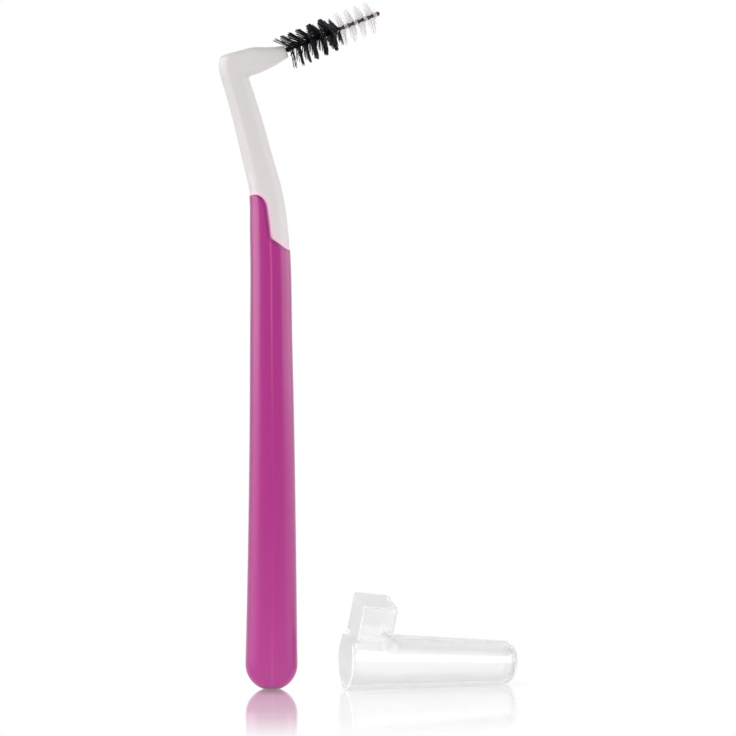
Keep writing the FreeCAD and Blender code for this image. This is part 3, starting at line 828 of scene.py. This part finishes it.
# %% The cap, cut and melted
cap_outer = in_scene("cap_outer", tube(0, 0))
cuts = (
    ("UNION", channel(0, 0)), ("DIFFERENCE", channel(WALL, CHANNEL_REACH)), ("DIFFERENCE", tube(WALL, WALL)))
others = []
for operation, mesh in cuts:
    other = in_scene("cap_cut", mesh)
    others.append(other)
    modifier = cap_outer.modifiers.new(operation.lower(), "BOOLEAN")
    modifier.operation, modifier.solver, modifier.object = operation, "EXACT", other
cap_solid = applied(cap_outer)
for other in others:
    bpy.data.objects.remove(other)
cap_mesh = melted([cap_solid], "cap_moulding", voxel=0.17, steps=14)

# %% The tube put back on its cones
spots = np.array([v.co for v in cap_mesh.vertices])
x, y, z = spots.T
radius = np.hypot(y, z)
outer = MOUTH_RADIUS - TAPER * x
trued = np.where(radius > outer - WALL / 2, outer, outer - WALL) / radius - 1
trued *= fade(x, 0.6, 1.2) * fade(x, CAP_LENGTH - 2.3, CAP_LENGTH - 2.9)
trued *= np.maximum(fade(x, 8, 9), fade(z, 2.6, 1.8))
spots[:, 1:] *= (1 + trued)[:, None]
cap_mesh.vertices.foreach_set("co", spots.ravel())

# %% [markdown]
# The near wall hides little, so what looks grey is the far wall of the channel and the mouth,
# seen through it, darkened more by painted shade. Painted highlights lie on the near rims of both,
# a band where the channel meets the tube, the closed end, and three corners where the walls run
# together.

# %% Where the cap gets painted shade and painted highlights
x, y, z = spots.T
above = (x - SETBACK) * math.sin(CHANNEL_LEAN) + (z - MOUTH_RADIUS) * math.cos(CHANNEL_LEAN)
behind = (x - SETBACK) * math.cos(CHANNEL_LEAN) - (z - MOUTH_RADIUS) * math.sin(CHANNEL_LEAN)
# Painted shade on the far walls of the channel and the mouth.
far_wall_shade = fade(y, 0, 1.5) * np.maximum(fade(above, 0.2, 1.0), fade(x, 4, 2.5))
# Painted highlights on the near rims, the band, the closed end and three corners.
upper_edges = np.maximum(fade(above, 5.9, 6.1), fade(behind, 0.35, 0.15) * (above > 0))
near_edges = np.maximum(upper_edges, fade(x, 0.35, 0.15)) * fade(y, 0, -1.5)
band = fade(abs(above - 0.75), 0.8, 0.3) * (y < -3.3) * (behind < 6.2)
closed_end = fade(x, CAP_LENGTH - 1.1, CAP_LENGTH - 0.6)
painted_edge_highlight = np.maximum.reduce([0.6 * near_edges, 0.4 * band, closed_end])
for corner, reach, most in (
        ((0.3, 2.7, 4.2), 1.2, 1.0), ((6.8, -3.0, 4.2), 2.4, 0.4), ((7.1, 2.0, 5.0), 1.5, 1.0)):
    painted_edge_highlight = np.maximum(painted_edge_highlight, most * fade(np.linalg.norm(spots - corner, axis=1), reach, reach * 4 / 9))
mark(cap_mesh, "far_wall_shade", far_wall_shade)
mark(cap_mesh, "painted_edge_highlight", painted_edge_highlight)

# %% The cap, laid on its side
CAP_X, CAP_TURN, CAP_ROLL = 12.73, math.radians(15), math.radians(13.5)
pitch = math.atan(TAPER)
cap_place = (
    Matrix.Translation((CAP_X, 0, MOUTH_RADIUS * math.cos(pitch))) @ Matrix.Rotation(CAP_TURN, 4, "Z")
    @ Matrix.Rotation(pitch, 4, "Y") @ Matrix.Rotation(CAP_ROLL, 4, "X"))
cap = finished("cap_moulding", cap_mesh, cap_place, clear_plastic, "cap")
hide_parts("cap")

# %% [markdown]
# The floor is a white polished table. It gives back a weak mirror image that fades towards the
# front and is weaker under the cap, and it keeps a faint shadow. To the camera it is as white as
# the background, which comes from its own light and from Is Camera Ray, and not from more light
# on the brush. Floor and world both ask which rays the picture shows, so one function does it.

# %% Floor
def seen_rays(tree):
    """The kinds of ray, and 1 for one from the camera, off a gloss or through the cap."""
    ray = add(tree, "ShaderNodeLightPath").outputs
    seen = add(tree, MATH, {0: ray["Is Camera Ray"], 1: ray["Is Glossy Ray"]}, operation="MAXIMUM")
    return ray, add(tree, MATH, {0: seen, 1: ray["Is Transmission Ray"]}, operation="MAXIMUM")


floor_mesh = bpy.data.meshes.new("floor")
floor_mesh.from_pydata([(-4, -2, 0), (4, -2, 0), (4, 6, 0), (-4, 6, 0)], [], [(0, 1, 2, 3)])
floor = in_scene("floor", floor_mesh)
floor.location.z = -0.02 * MM
polish, tree = new_material("polished_white_table")
place = add(tree, "ShaderNodeTexCoord").outputs["Object"]
split = add(tree, "ShaderNodeSeparateXYZ", {"Vector": place})
front = add(tree, RANGE, {"Value": split.outputs["Y"], "From Min": -120 * MM, "From Max": 0.0})
mirror_share = add(tree, "ShaderNodeValToRGB", {"Fac": front})
stops = mirror_share.color_ramp.elements
stops[1].color = (0.93, 0.93, 0.93, 1)
for spot, share in (
        (0.38, 0.0), (0.45, 0.1), (0.55, 0.29), (0.65, 0.47),
        (0.75, 0.585), (0.86, 0.645), (0.92, 0.69), (0.96, 0.79)):
    stops.new(spot).color = (share, share, share, 1)
ray, seen = seen_rays(tree)
open_sky = add(tree, "ShaderNodeAmbientOcclusion", {"Distance": 6 * MM}, samples=8)
shadow = add(tree, RANGE, {"Value": open_sky.outputs["AO"], "To Min": 0.8, "To Max": 1.0})
shadow = add(tree, MATH, {0: shadow, 1: ray["Is Transmission Ray"]}, operation="MAXIMUM")
bounce = add(tree, MATH, {0: shadow, 1: 1.15}, operation="MULTIPLY")
matt = add(tree, "ShaderNodeEmission", {"Color": WHITE, "Strength": bounce})
ahead = add(tree, RANGE, {
    "Value": split.outputs["Y"], "From Min": -0.4, "From Max": -0.05, "To Min": 0.25, "To Max": 1.0})
ahead = add(tree, MATH, {0: ahead, 1: ray["Is Camera Ray"]}, operation="MAXIMUM")
strength = add(tree, MATH, {0: shadow, 1: ahead}, operation="MULTIPLY")
light = add(tree, "ShaderNodeEmission", {"Color": WHITE, "Strength": strength})
mirror = add(tree, "ShaderNodeBsdfGlossy", {"Color": WHITE, "Roughness": 0.03})
weaker = add(tree, RANGE, {
    "Value": split.outputs["X"], "From Min": 8 * MM, "From Max": 14 * MM, "To Min": 1.0, "To Max": 0.6})
mirror_seen = add(tree, MATH, {0: mirror_share, 1: ray["Is Camera Ray"]}, operation="MULTIPLY")
mirror_seen = add(tree, MATH, {0: mirror_seen, 1: weaker}, operation="MULTIPLY")
shown = add(tree, BLEND, {0: mirror_seen, 1: light, 2: mirror})
mixed = add(tree, BLEND, {0: seen, 1: matt, 2: shown})
add(tree, OUTPUT, {"Surface": mixed})
floor_mesh.materials.append(polish)
print(polish.name)

# %% [markdown]
# The studio is white all round, and that white is what the camera sees behind the brush. Its
# light on the surfaces is weak. In reflections the room is darker on the camera's side and
# brighter to the left and right, so a round form keeps its deep colour in the middle and turns
# paler at its sides. A key light above and one light at each side model the surfaces. Two boxes
# show only as sheens along the handle's sides. Two more light the cap alone: a small one draws
# its long highlight, and a wide one gives its upper faces a soft gloss.

# %% World
world = bpy.data.worlds.new("white_studio")
bpy.context.scene.world = world
world.use_nodes = True
tree = world.node_tree
tree.nodes.clear()
ray, seen = seen_rays(tree)
heading = add(tree, "ShaderNodeTexCoord").outputs["Generated"]
side = add(tree, "ShaderNodeSeparateXYZ", {"Vector": heading})
room = add(tree, RANGE, {
    "Value": side.outputs["Y"], "From Min": -0.35, "From Max": 0.3, "To Min": 0.14, "To Max": 1.0},
    interpolation_type="SMOOTHSTEP")
aside = add(tree, MATH, {0: side.outputs["X"]}, operation="ABSOLUTE")
aside = add(tree, RANGE, {
    "Value": aside, "From Min": 0.12, "From Max": 0.35, "To Min": 1.0, "To Max": 1.7},
    interpolation_type="SMOOTHSTEP")
room = add(tree, MATH, {0: room, 1: aside}, operation="MULTIPLY")
through = add(tree, RANGE, {
    "Value": side.outputs["Y"], "From Min": -0.3, "From Max": 0.5, "To Min": 0.6, "To Max": 1.0},
    interpolation_type="SMOOTHSTEP")
sheen = add(tree, MIX, {0: ray["Is Glossy Ray"], 2: 1.0, 3: room})
sheen = add(tree, MIX, {0: ray["Is Transmission Ray"], 2: sheen, 3: through})
soft = add(tree, "ShaderNodeBackground", {"Color": WHITE, "Strength": 0.25})
white_ground = add(tree, "ShaderNodeBackground", {"Color": WHITE, "Strength": sheen})
both_grounds = add(tree, BLEND, {0: seen, 1: soft, 2: white_ground})
add(tree, "ShaderNodeOutputWorld", {"Surface": both_grounds})
print(world.name)


# %% Lamps
def soft_box(name, turn, rise, width, height, radiance, diffuse=True, glossy=True, away=0.8):
    """A soft box, this many degrees right of the camera and this many up, facing the brush."""
    turn, rise = math.radians(turn), math.radians(rise)
    middle = Vector((10 * MM, 0, 60 * MM))
    lamp = bpy.data.lights.new(name, "AREA")
    lamp.shape, lamp.size, lamp.size_y = "RECTANGLE", width, height
    lamp.energy = radiance * math.pi * width * height
    box = in_scene(name, lamp)
    towards = (math.sin(turn) * math.cos(rise), -math.cos(turn) * math.cos(rise), math.sin(rise))
    box.location = middle + Vector(towards) * away
    box.rotation_euler = (middle - box.location).to_track_quat("-Z", "Y").to_euler()
    box.visible_diffuse, box.visible_glossy = diffuse, glossy
    return box


soft_box("key_light", -8, 55, 0.7, 0.6, 2.0, glossy=False)
soft_box("left_light", -60, 12, 0.5, 0.7, 2.4, glossy=False)
soft_box("right_light", 62, 8, 0.5, 0.7, 1.3, glossy=False)
soft_box("left_sheen", -66, 8, 0.92, 0.9, 3.8, diffuse=False)
soft_box("right_sheen", 70, 6, 1.2, 0.8, 2.6, diffuse=False)
cap_light = soft_box("cap_light", -31, 5, 0.26, 0.26, 9.0, diffuse=False)
cap_fill = soft_box("cap_fill", 5, 32, 1.8, 0.8, 0.5, diffuse=False)
near_cap = bpy.data.collections.new("lit_by_cap_light")
near_cap.objects.link(cap)
for box in (cap_light, cap_fill):
    box.light_linking.receiver_collection = near_cap
print("lamps", len(bpy.data.lights))

# %% [markdown]
# The photograph was taken with a long lens from a little above. The camera stands 1.2 metres
# away, four degrees up, and its lens makes the picture 126.4 mm wide at the brush.

# %% Camera
ELEVATION = math.radians(4)
AWAY = 1.2
PICTURE_WIDTH = 126.4 * MM
aim = Vector((16.62 * MM, 0, 55.4 * MM))
lens = bpy.data.cameras.new("long_lens")
lens.sensor_width = 36
lens.lens = lens.sensor_width * AWAY / PICTURE_WIDTH
camera = in_scene("camera", lens)
camera.location = aim + Vector((0, -math.cos(ELEVATION), math.sin(ELEVATION))) * AWAY
camera.rotation_euler = (math.pi / 2 - ELEVATION, 0, 0)
bpy.context.scene.camera = camera
bpy.context.scene.view_settings.view_transform = "Standard"
print("lens", round(lens.lens), "mm")
